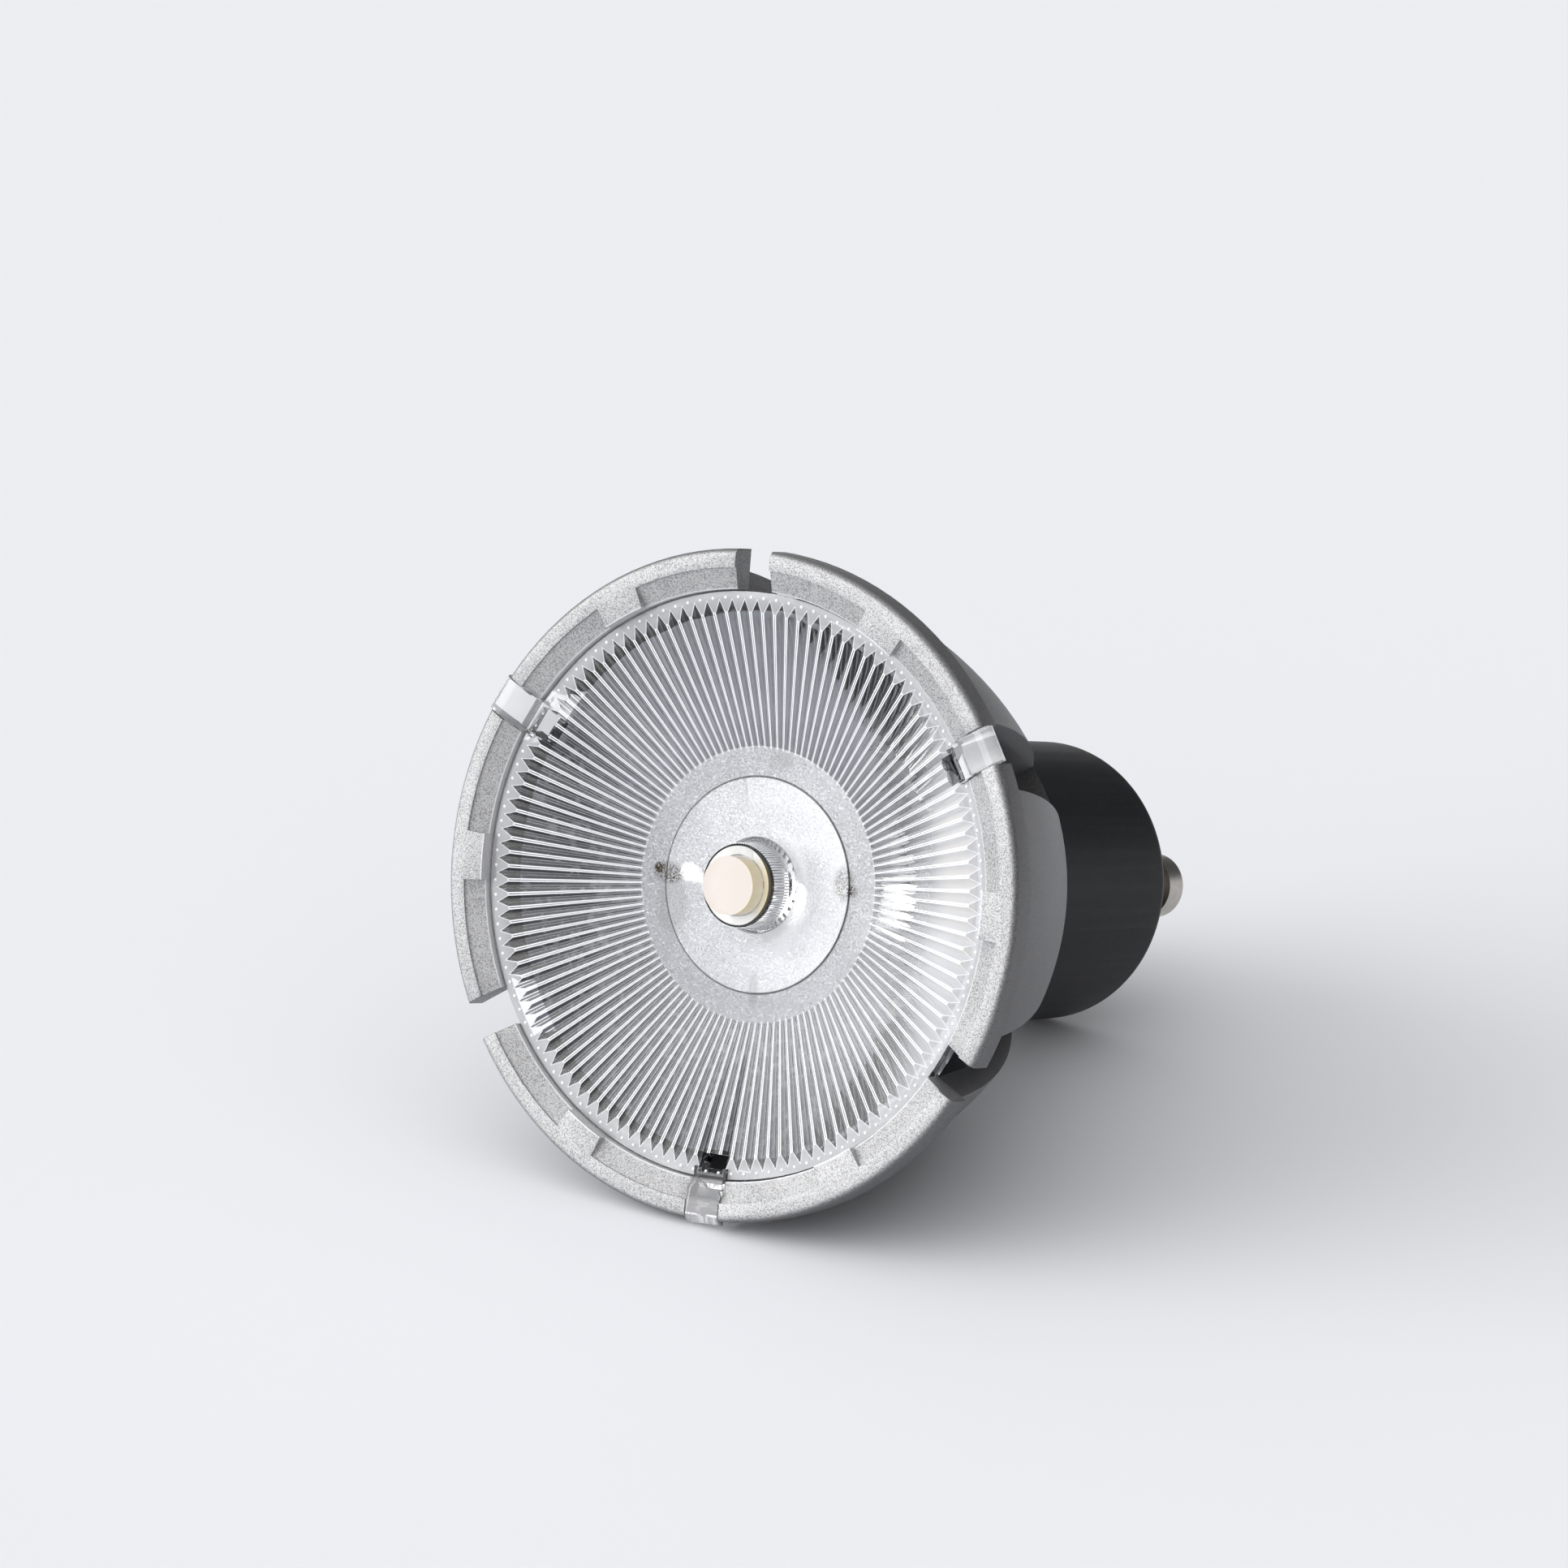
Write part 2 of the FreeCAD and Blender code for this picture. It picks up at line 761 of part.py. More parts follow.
def make_input_lead(name, side):
    lead = doc.addObject("Part::Cylinder", name)
    lead.setExpression("Radius", size("input_lead_radius").text)
    lead.setExpression("Height", size("input_lead_length").text)
    lead.setExpression("Placement.Base.x", (pin_place * side).text)
    lead.setExpression("Placement.Base.y", (board_front + size("input_lead_radius")).text)
    lead.setExpression("Placement.Base.z", (-tail_end).text)
    return lead


# A block on the driver board: (width, height off the board, length), centred across and along
def make_block(name, extents, across, along, on_front):
    width, height, length = extents
    block = doc.addObject("Part::Box", name)
    block.setExpression("Length", width.text)
    block.setExpression("Width", height.text)
    block.setExpression("Height", length.text)
    block.setExpression("Placement.Base.x", (across - width / 2).text)
    seat = board_front if on_front else board_rear - height
    block.setExpression("Placement.Base.y", seat.text)
    block.setExpression("Placement.Base.z", (-along - length / 2).text)
    return block


# A round part lying along the driver board
def make_barrel(name, radius, length, across, along, on_front):
    barrel = doc.addObject("Part::Cylinder", name)
    barrel.setExpression("Radius", radius.text)
    barrel.setExpression("Height", length.text)
    barrel.setExpression("Placement.Base.x", across.text)
    seat = board_front + radius if on_front else board_rear - radius
    barrel.setExpression("Placement.Base.y", seat.text)
    barrel.setExpression("Placement.Base.z", (-along - length / 2).text)
    return barrel


# Drum-core choke standing on the driver board, with its winding waist
def make_inductor(across, along):
    body = new_body("inductor")
    height = size("inductor_height")
    flange = size("inductor_flange")
    turn(body, "drum", [
        (0, 0),
        (size("inductor_radius"), 0),
        (size("inductor_radius"), flange),
        (size("inductor_waist"), flange),
        (size("inductor_waist"), height - flange),
        (size("inductor_radius"), height - flange),
        (size("inductor_radius"), height),
        (0, height),
    ])
    body.Placement.Rotation = FreeCAD.Rotation(FreeCAD.Vector(1, 0, 0), -90)
    body.setExpression("Placement.Base.x", across.text)
    body.setExpression("Placement.Base.y", board_front.text)
    body.setExpression("Placement.Base.z", (-along).text)
    return body


# How far off the middle a part of this half width stands, clear of the rail beside it.
def beside_rail(half_width):
    return rail_edge - size("driver_edge_gap") - half_width


def make_driver():
    board = make_block(
        "driver_board",
        (board_half_width * 2, size("driver_board_thickness"), size("driver_board_length")),
        as_size(0), board_top + size("driver_board_length") / 2, False)
    board.setExpression("Placement.Base.y", board_rear.text)
    low_edge = board_bottom - size("input_lead_length")
    low = low_edge - size("inductor_radius")
    high = low - size("inductor_radius") - size("part_spacing") - size("film_length") / 2
    return [
        board,
        make_barrel("electrolytic_capacitor", size("capacitor_radius"), size("capacitor_length"),
                    beside_rail(size("capacitor_radius")), low_edge - size("capacitor_length") / 2, True),
        make_inductor(-beside_rail(size("inductor_radius")), low),
        make_block("film_capacitor", (size("film_width"), size("film_height"), size("film_length")),
                   -beside_rail(size("film_width") / 2), high, True),
        make_block("bridge_rectifier",
                   (size("rectifier_width"), size("rectifier_height"), size("rectifier_length")),
                   -beside_rail(size("rectifier_width") / 2), low, False),
        make_block("driver_chip", (size("chip_width"), size("chip_height"), size("chip_length")),
                   -beside_rail(size("chip_width") / 2), high, False),
        make_barrel("fuse_resistor", size("fuse_radius"), size("fuse_length"),
                    beside_rail(size("fuse_radius")), low, False),
    ]


pieces = [
    make_heat_sink(),
    make_lens(),
    make_reflector_cup(),
    make_base_shell(),
    make_contact_pin("contact_pin_left", -1),
    make_contact_pin("contact_pin_right", 1),
    make_disc("led_board", size("led_board_radius"), board_face, size("led_board_thickness"),
              fixing_holes()),
    make_disc("thermal_pad", size("led_board_radius"), pad_face, size("pad_thickness"), fixing_holes()),
    make_disc("insulating_lid", size("base_radius"), socket_depth, size("lid_thickness"), lead_holes()),
    make_screw("board_screw_upper", 1),
    make_screw("board_screw_lower", -1),
    make_led_lead("led_lead_left", -1),
    make_led_lead("led_lead_right", 1),
    make_input_lead("input_lead_left", -1),
    make_input_lead("input_lead_right", 1),
] + make_led() + make_driver()
doc.recompute()


# The lamp lies on the back edge of its rim band and on the rounded end of its base.
def resting_placement():
    rim_point = (rim_radius.value, size("band_thickness").value)
    edge = size("base_edge_round").value
    round_centre = (base_end_radius.value - edge, base_depth.value - edge)
    drop = rim_point[0] - round_centre[0]
    run = round_centre[1] - rim_point[1]
    slope = math.atan2(drop, run) - math.asin(edge / math.hypot(drop, run))
    laid = FreeCAD.Rotation(FreeCAD.Vector(1, 0, 0), 90 - math.degrees(slope))
    rolled = FreeCAD.Rotation(FreeCAD.Vector(0, 0, 1), size("rest_roll").value)
    return FreeCAD.Placement(FreeCAD.Vector(0, 0, 0), laid.multiply(rolled))


def extents(shapes):
    box = FreeCAD.BoundBox()
    for shape in shapes:
        for point in shape.tessellate(0.02)[0]:
            box.add(point)
    return box


def piece_shape(piece, placement):
    shape = piece.Shape.copy()
    shape.Placement = placement.multiply(shape.Placement)
    return shape


resting = resting_placement()
box = extents([piece_shape(piece, resting) for piece in pieces])
to_origin = FreeCAD.Vector(-box.Center.x, -box.Center.y, -box.ZMin)
resting = FreeCAD.Placement(to_origin, FreeCAD.Rotation(0, 0, 0)).multiply(resting)

failed = [item.Name for item in doc.Objects if "Invalid" in item.State or "Error" in item.State]
failed += [piece.Label for piece in pieces if piece.Shape.isNull() or not piece.Shape.isValid()]
if failed:
    raise RuntimeError("failed: " + ", ".join(failed))

os.makedirs("parts", exist_ok=True)
for piece in pieces:
    shape = piece_shape(piece, resting)
    shape.exportStep(f"parts/{piece.Label}.step")
    print(piece.Label, "solids", len(shape.Solids), "volume", round(shape.Volume, 2))
print("box", [round(value, 3) for value in (box.XLength, box.YLength, box.ZLength)])
print("rim centre", [round(value, 4) for value in resting.Base])
print("lamp axis", [round(value, 6) for value in resting.Rotation.multVec(FreeCAD.Vector(0, 0, 1))])
print("pin side", [round(value, 6) for value in resting.Rotation.multVec(FreeCAD.Vector(1, 0, 0))])
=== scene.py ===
import bmesh
import bpy
import json
import math
from mathutils import Matrix, Vector


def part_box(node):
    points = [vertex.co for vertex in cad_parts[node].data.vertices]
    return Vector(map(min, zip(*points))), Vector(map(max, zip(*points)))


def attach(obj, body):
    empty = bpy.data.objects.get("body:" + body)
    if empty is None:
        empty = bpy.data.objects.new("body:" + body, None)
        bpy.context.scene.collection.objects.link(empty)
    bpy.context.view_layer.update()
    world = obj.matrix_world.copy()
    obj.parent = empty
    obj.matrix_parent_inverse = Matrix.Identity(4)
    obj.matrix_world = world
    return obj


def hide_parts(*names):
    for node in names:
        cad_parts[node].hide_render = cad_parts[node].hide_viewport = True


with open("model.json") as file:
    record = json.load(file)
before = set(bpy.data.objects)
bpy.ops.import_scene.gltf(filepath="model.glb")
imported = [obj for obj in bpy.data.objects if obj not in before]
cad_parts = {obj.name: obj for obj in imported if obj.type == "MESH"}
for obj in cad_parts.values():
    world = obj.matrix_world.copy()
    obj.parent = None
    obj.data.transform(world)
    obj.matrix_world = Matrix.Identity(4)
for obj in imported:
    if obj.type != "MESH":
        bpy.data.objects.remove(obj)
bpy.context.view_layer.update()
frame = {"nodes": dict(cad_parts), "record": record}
nodes = frame["nodes"]
mounts = {mount["name"]: mount for mount in frame["record"]["mounts"]}
mm = 0.001
print("frame loaded")

# The lamp's own frame, read from its mounts: +Z leaves the rim's face, the pins lie along X.
# Lengths are in millimetres unless they are times mm.
lampSizes = {
    "pinPatternDepth": 53.675 * mm,
    "lensRadius": 21.85,
    "discRadius": 10.4,
    "discDepth": 4.2,
    "pipRadius": 2.3,
}
axisZ = Vector(mounts["front_rim"]["axis"]).normalized()
rimCentre = Vector(mounts["twist_lock_pins"]["pos_m"]) + axisZ * lampSizes["pinPatternDepth"]
axisX = (Vector(mounts["front_rim"]["pos_m"]) - rimCentre).normalized()
axisY = axisZ.cross(axisX)
lampTurn = Matrix((axisX, axisY, axisZ)).transposed()


def lampPoint(x, y, z):
    return rimCentre + lampTurn @ (Vector((x, y, z)) * mm)


# A shader socket that can stand in a sum
class Wire:
    def __init__(self, look, socket):
        self.look = look
        self.socket = socket

    def maths(self, operation, other=0.0, swapped=False):
        first, second = (other, self) if swapped else (self, other)
        return self.look.add("ShaderNodeMath", {"operation": operation}, {0: first, 1: second})

    def __add__(self, other):
        return self.maths("ADD", other)

    def __radd__(self, other):
        return self.maths("ADD", other, True)

    def __sub__(self, other):
        return self.maths("SUBTRACT", other)

    def __rsub__(self, other):
        return self.maths("SUBTRACT", other, True)

    def __mul__(self, other):
        return self.maths("MULTIPLY", other)

    def __rmul__(self, other):
        return self.maths("MULTIPLY", other, True)

    def __truediv__(self, other):
        return self.maths("DIVIDE", other)


# One material and its node tree
class Look:
    def __init__(self, name, **fixed):
        self.material = bpy.data.materials.new(name)
        self.material.use_nodes = True
        self.tree = self.material.node_tree
        self.shader = self.tree.nodes["Principled BSDF"]
        self.surface = self.shader.outputs[0]
        for socket, value in fixed.items():
            self.shader.inputs[socket.replace("_", " ")].default_value = value

    def add(self, kind, settings=None, sockets=None, output=0):
        node = self.tree.nodes.new(kind)
        for name, value in (settings or {}).items():
            setattr(node, name, value)
        for name, value in (sockets or {}).items():
            if isinstance(value, Wire):
                self.tree.links.new(value.socket, node.inputs[name])
            else:
                node.inputs[name].default_value = value
        return Wire(self, node.outputs[output])

    def feed(self, socket, wire):
        self.tree.links.new(wire.socket, self.shader.inputs[socket])

    def ownPoint(self):                      # millimetres in the part's frame
        place = self.add("ShaderNodeTexCoord", output="Object")
        return self.add("ShaderNodeVectorMath", {"operation": "SCALE"}, {0: place, "Scale": 1 / mm})

    def lampPoint(self):                     # millimetres in the lamp's own frame
        place = self.add("ShaderNodeTexCoord", output="Object")
        return self.add("ShaderNodeMapping", {"vector_type": "TEXTURE"}, {
            "Vector": place, "Location": rimCentre, "Rotation": lampTurn.to_euler("XYZ"),
            "Scale": (mm, mm, mm)})

    def split(self, vector):
        first = self.add("ShaderNodeSeparateXYZ", sockets={0: vector})
        return [Wire(self, first.socket.node.outputs[index]) for index in range(3)]

    def radius(self, x, y):
        return (x * x + y * y).maths("SQRT")

    def near(self, value, middle, half, fade):    # 1 within half of the middle, fading to 0
        away = (value - middle).maths("ABSOLUTE")
        return 1 - self.step(away, half, half + fade)

    def step(self, value, low, high):        # 0 below low, 1 above high, smooth between
        return self.add("ShaderNodeMapRange", {"interpolation_type": "SMOOTHSTEP"}, {
            "Value": value, "From Min": low, "From Max": high, "To Min": 0.0, "To Max": 1.0})

    def noise(self, vector, scale, detail=2.0, rough=0.5):
        return self.add("ShaderNodeTexNoise", {"noise_dimensions": "3D"}, {
            "Vector": vector, "Scale": scale, "Detail": detail, "Roughness": rough})

    def blend(self, factor, first, second):
        return self.add("ShaderNodeMix", {"data_type": "RGBA"}, {
            "Factor": factor, 6: first, 7: second}, output=2)

    # The veil carries milky scatter, and also painted highlights, glow and shade
    def veil(self, factor, colour):          # a thin layer of milky scatter over the shader
        veilLayer = self.tree.nodes.new("ShaderNodeBsdfDiffuse")
        veilLayer.inputs["Color"].default_value = colour
        mix = self.tree.nodes.new("ShaderNodeMixShader")
        output = self.tree.nodes["Material Output"]
        self.tree.links.new(factor.socket, mix.inputs[0])
        self.tree.links.new(self.surface, mix.inputs[1])
        self.tree.links.new(veilLayer.outputs[0], mix.inputs[2])
        self.tree.links.new(mix.outputs[0], output.inputs["Surface"])
        self.surface = mix.outputs[0]

    def bump(self, height, strength, depth):
        return self.add("ShaderNodeBump", None, {
            "Height": height, "Strength": strength, "Distance": depth * mm})


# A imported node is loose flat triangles, so its copy is joined up before it is finished.
def joinedCopy(name):
    mesh = nodes[name].data.copy()
    form = bmesh.new()
    form.from_mesh(mesh)
    bmesh.ops.remove_doubles(form, verts=form.verts, dist=0.0004 * mm)
    flat = math.radians(0.5)
    bmesh.ops.dissolve_limit(form, angle_limit=flat, verts=form.verts, edges=form.edges)
    form.to_mesh(mesh)
    form.free()
    return mesh


# Each named node gets a finished copy in this look: shaded smooth between its sharp edges, which
# are eased by a small bevel where easedBy is given.
def dress(look, slotName, *names, sharpAngle=30.0, easedBy=0.0, easedAbove=40.0):
    for name in names:
        mesh = joinedCopy(name)
        mesh.materials.clear()
        mesh.materials.append(look.material)
        piece = bpy.data.objects.new(name + "_finished", mesh)
        bpy.context.collection.objects.link(piece)
        if easedBy:
            ease = piece.modifiers.new("ease", "BEVEL")
            ease.width = easedBy * mm
            ease.segments = 2
            ease.limit_method = "ANGLE"
            ease.angle_limit = math.radians(easedAbove)
            ease.use_clamp_overlap = True
            graph = bpy.context.evaluated_depsgraph_get()
            piece.data = bpy.data.meshes.new_from_object(piece.evaluated_get(graph))
            piece.modifiers.clear()
        piece.data.shade_smooth()
        piece.data.set_sharp_from_angle(angle=math.radians(sharpAngle))
        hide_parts(name)
        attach(piece, "root")


# Edges are (from, to): of noise for paint and glint, of the radius or height in the lamp's own
# millimetres for the others.
castSizes = {
    "paint": (0.47, 0.47, 0.475, 1),
    "shade": (0.22, 0.22, 0.225, 1),
    "glint": (0.74, 0.74, 0.75, 1),
    "bareAndShade": (0.103, 0.103, 0.107, 1),
    "metallic": 0.35,
    "roughness": 0.42,
    "roughnessSwing": 0.1,
    "grainPerMm": 7.0,
    "finePerMm": 14.0,
    "cloudPerMm": 0.25,
    "fineShare": 0.35,
    "cloudShare": 0.12,
    "bareGrain": 0.35,
    "grainDepth": 0.05,
    "paintEdge": (0.42, 0.62),
    "glintEdge": (0.68, 0.74),
    "boreEdge": (22.03, 22.15),
    "boreFloor": (-2.7, -2.6),
    "boreShine": 0.6,
    "sideEdge": (24.6, 24.95),
    "faceBack": (-2.15, -2.05),
    "coreEdge": (13.0, 13.5),
    "slotCount": 6,
    "slotEdge": (1.51, 1.55),
    "slotShade": 0.6,
}


# Sandy silver paint on the front: dark pits, light paint and a few painted glints. The bore's wall
# gets a painted highlight. Behind the rim's face the outside is darker, partly the bare casting and
# partly painted shade, and the walls of its slots get painted shade.
def castMetal():
    sizes = castSizes
    look = Look("castMetal", Metallic=sizes["metallic"])
    place = look.ownPoint()
    grain = look.noise(place, sizes["grainPerMm"], 2.0, 0.6)
    fine = look.noise(place, sizes["finePerMm"], 1.0, 0.5)
    cloud = look.noise(place, sizes["cloudPerMm"], 2.0)
    sand = grain * (1 - sizes["fineShare"]) + fine * sizes["fineShare"]
    x, y, z = look.split(look.lampPoint())
    radius = look.radius(x, y)

    light = look.step(sand + cloud * sizes["cloudShare"], *sizes["paintEdge"])
    colour = look.blend(light, sizes["shade"], sizes["paint"])
    # Painted glints: light specks in the colour stand in for highlights
    colour = look.blend(look.step(fine, *sizes["glintEdge"]), colour, sizes["glint"])
    # Painted highlight: the bore's wall is lightened towards the glint colour
    paintedBoreLight = (1 - look.step(radius, *sizes["boreEdge"])) * look.step(z, *sizes["boreFloor"])
    colour = look.blend(paintedBoreLight * sizes["boreShine"], colour, sizes["glint"])

    # Painted shade: the outside behind the rim's face and the walls of its slots are darkened,
    # partly as the bare casting
    side = look.step(radius, *sizes["sideEdge"])
    behind = 1 - look.step(z, *sizes["faceBack"])
    slotPitch = 2 * math.pi / sizes["slotCount"]
    turns = y.maths("ARCTAN2", x) * (1 / slotPitch)
    fromSlot = (turns.maths("FRACT") - 0.5) * slotPitch
    across = (fromSlot.maths("SINE") * radius).maths("ABSOLUTE")
    slot = (1 - look.step(across, *sizes["slotEdge"])) * sizes["slotShade"]
    outside = side.maths("MAXIMUM", behind).maths("MAXIMUM", slot)
    bareAndShadeMask = outside * look.step(radius, *sizes["coreEdge"]) * (1 - grain * sizes["bareGrain"])
    look.feed("Base Color", look.blend(bareAndShadeMask, colour, sizes["bareAndShade"]))
    swing = sizes["roughnessSwing"]
    look.feed("Roughness", sizes["roughness"] - swing + grain * (2 * swing))
    look.feed("Normal", look.bump(sand, 0.9, sizes["grainDepth"]))
    return look


# Lines are (middle, half width, fade) and edges are (from, to), in the lamp's own millimetres. But
# the lines along the ribs are in shares of one rib, markEdge is in shares of a mark's size, and the
# specks' and ripple's edges are noise values.
lensSizes = {
    "refraction": 1.5,
    "polish": 0.01,
    "frostRoughness": 0.42,
    "frostPerMm": 6.0,
    "frostDepth": 0.05,
    "speckPerMm": 7.5,
    "ripplePerMm": 1.1,
    "cloudPerMm": 0.22,
    "ribCount": 120,
    "ribTipRadius": 21.3,
    "ribInnerRadius": 10.85,
    "ribFoot": (10.2, 10.3),
    "notchRatio": 0.953,
    "flangeDepth": 1.1,
    "crestLine": (0.08, 0.03, 0.03),
    "crestShare": 0.4,
    "crestHighlight": 1.0,
    "tipLine": (0.0, 0.05, 0.05),
    "tipHighlight": 0.75,
    "flangeVeil": 0.4,
    "sheenEdge": (12.5, 18.5),
    "sheen": 0.45,
    "grooveLine": (0.4, 0.47),
    "flankLine": (0.17, 0.02, 0.04),
    "flankShade": 0.7,
    "leftLine": (0.28, 0.05, 0.04),
    "leftEdge": (-16.0, -8.0),
    "underEdge": (-12.0, -2.0),
    "underTilt": 0.5,
    "underShade": 0.6,
    "plainEdge": (10.0, 17.0),
    "plainShare": 0.85,
    "grooveStrength": 0.8,
    "grooveLean": 0.025,
    "rippleEdge": (0.3, 0.5),
    "rippleShare": 0.5,
    "grooveShade": (0.02, 0.02, 0.03, 1),
    "discRing": 8.1,
    "ringDark": 0.75,
    "innerMilk": 0.57,
    "innerLightSlope": 0.022,
    "outerMilk": 0.28,
    "outerLightSlope": 0.008,
    "cloud": 0.25,
    "speckle": 0.8,
    "lightSpeck": (0.58, 0.66),
    "lightShare": 0.45,
    "darkSpeck": (0.34, 0.42),
    "darkShare": 0.3,
    "clipMilk": 0.16,
    "milkAndHighlightColour": (0.86, 0.865, 0.895, 1),
    "markEdge": (0.55, 1.15),
    "soilSpeck": (0.36, 0.6),
    "soilShare": 0.85,
    "soil": (0.05, 0.037, 0.022, 1),
    "whiteShare": 0.8,
    "bossRadius": 3.1,
    "bossTop": -1.5,
    "bossFoot": (3.3, 3.4),
    "bossWhite": (0.95, 0.95, 0.93, 1),
    "collarMilk": 0.7,
    "glowEdge": (1.3, 2.6),
    "glowShare": 0.6,
    "warmGlow": (1.0, 0.84, 0.48, 1),
    "rimLine": 0.17,
    "rimWide": (0.5, 3.0),
    "rimShadow": 0.25,
    "lineShare": 0.9,
    "lineShade": (0.012, 0.012, 0.014, 1),
    "pipMilk": 0.8,
    "pipWall": (2.12, 2.18),
    "pipLit": (0.3, 1.5),
    "pipLitShare": 0.5,
    "pipCream": (0.735, 0.665, 0.61, 1),
}
# Marks on the disc as (x, y, half length, half width, strength), in the lamp's own millimetres
darkMarks = [
    (-8.8, 0.5, 0.45, 0.4, 1.6), (-7.9, 0.2, 1.6, 0.9, 0.9), (-7.4, -2.2, 1.6, 2.6, 0.35),
    (7.6, 0.8, 1.0, 1.5, 0.7), (8.4, 0.3, 0.5, 0.5, 0.7), (1.4, 9.5, 1.3, 0.7, 0.3),
    (0.4, -8.0, 0.5, 1.6, 0.35),
]
whiteMarks = [
    (-6.0, 0.4, 1.0, 0.75, 1.3), (-4.9, 0.05, 0.9, 0.4, 1.0), (7.3, 0.2, 0.5, 0.8, 0.5),
]


def discMarks(look, x, y, marks):
    total = 0.0
    for across, along, halfAcross, halfAlong, strength in marks:
        spot = look.radius((x - across) / halfAcross, (y - along) / halfAlong)
        total = (1 - look.step(spot, *lensSizes["markEdge"])) * strength + total
    return total


# The ribs' narrow crests and the grooves' pointed ends get painted highlights as white lines, the
# flange a light veil and the right side a painted sheen. The grooves get painted shade as dark
# lines, with an extra dark line on the left and below. Returns how much light veil and painted
# shade a point gets.
def ribLines(look, x, y, z, radius):
    sizes = lensSizes
    turn = y.maths("ARCTAN2", x) * (sizes["ribCount"] / (2 * math.pi))
    share = (turn.maths("FRACT") - 0.5).maths("ABSOLUTE")        # 0 on a crest, 0.5 in a groove
    ribLength = sizes["ribTipRadius"] - sizes["ribInnerRadius"]
    fall = (lampSizes["discDepth"] - sizes["flangeDepth"]) / ribLength
    groove = (radius - sizes["ribInnerRadius"]) * fall - lampSizes["discDepth"]
    overFlange = z + sizes["flangeDepth"]
    zone = look.step(z - groove, -0.2, -0.1) * look.step(radius, *sizes["ribFoot"])
    zone = zone * (1 - look.step(overFlange, -0.03, -0.01))

    left = 1 - look.step(x, *sizes["leftEdge"])
    under = 1 - look.step(x * sizes["underTilt"] + y, *sizes["underEdge"])
    under = under * sizes["underShade"]
    # Painted shade: dark lines in the grooves, with an extra one on the left and below
    dark = look.step(share, *sizes["grooveLine"])
    dark = dark + look.near(share, *sizes["flankLine"]) * sizes["flankShade"]
    dark = (dark + look.near(share, *sizes["leftLine"]) * left.maths("MAXIMUM", under)) * zone

    # Painted highlights: white lines on the crests and at the grooves' pointed ends; a light veil
    # on the flange
    notch = sizes["ribTipRadius"] * (1 - sizes["notchRatio"])
    fromTip = ((0.5 - share) / sizes["crestShare"]).maths("MINIMUM", 1.0)
    fromStar = radius - (sizes["ribTipRadius"] - fromTip * notch)
    tips = look.near(fromStar, *sizes["tipLine"]) * look.near(overFlange, 0.0, 0.1, 0.1)
    flange = look.step(fromStar, 0.05, 0.1) * look.near(overFlange, 0.0, 0.02, 0.02)
    edge = lampSizes["lensRadius"]
    flange = flange * (1 - look.step(radius, edge - 0.02, edge))
    crest = look.near(share, *sizes["crestLine"]) * zone
    # Painted sheen on the right side of the ribs
    sheen = zone * look.step(x, *sizes["sheenEdge"])
    veilLayer = crest * sizes["crestHighlight"] + tips * sizes["tipHighlight"]
    return veilLayer + flange * sizes["flangeVeil"] + sheen * sizes["sheen"], dark


# How much painted shade the grooves' dark lines carry: most on the left and below, least on the
# right
def grooveShadow(look, x, y, place, groove):
    sizes = lensSizes
    ripple = look.step(look.noise(place, sizes["ripplePerMm"], 2.0), *sizes["rippleEdge"])
    broken = ripple * sizes["rippleShare"] + (1 - sizes["rippleShare"])
    plain = look.step(x, *sizes["plainEdge"]) * sizes["plainShare"]
    lean = sizes["grooveStrength"] - (x + y) * sizes["grooveLean"]
    shadow = groove * broken * lean * (1 - plain)
    return shadow.maths("MAXIMUM", 0.0).maths("MINIMUM", 1.0)


# Milk of the frosted disc: more inside its ring, with light and dark specks, and brighter towards
# the right and top as painted light
def discMilkAndLight(look, x, y, radius, place, speck):
    sizes = lensSizes
    ring = sizes["discRing"]
    inner = 1 - look.step(radius, ring - 0.1, ring)
    cloud = (look.noise(place, sizes["cloudPerMm"], 1.0) - 0.5) * sizes["cloud"]
    # Painted light: brighter towards the right and top
    paintedLightSlope = x * inner * sizes["innerLightSlope"] + (x + y) * sizes["outerLightSlope"]
    sparkle = look.step(speck, *sizes["lightSpeck"]) * sizes["lightShare"]
    sparkle = sparkle - (1 - look.step(speck, *sizes["darkSpeck"])) * sizes["darkShare"]
    extra = inner * (sizes["innerMilk"] - sizes["outerMilk"]) + inner * cloud
    return extra + paintedLightSlope + sparkle * sizes["speckle"]


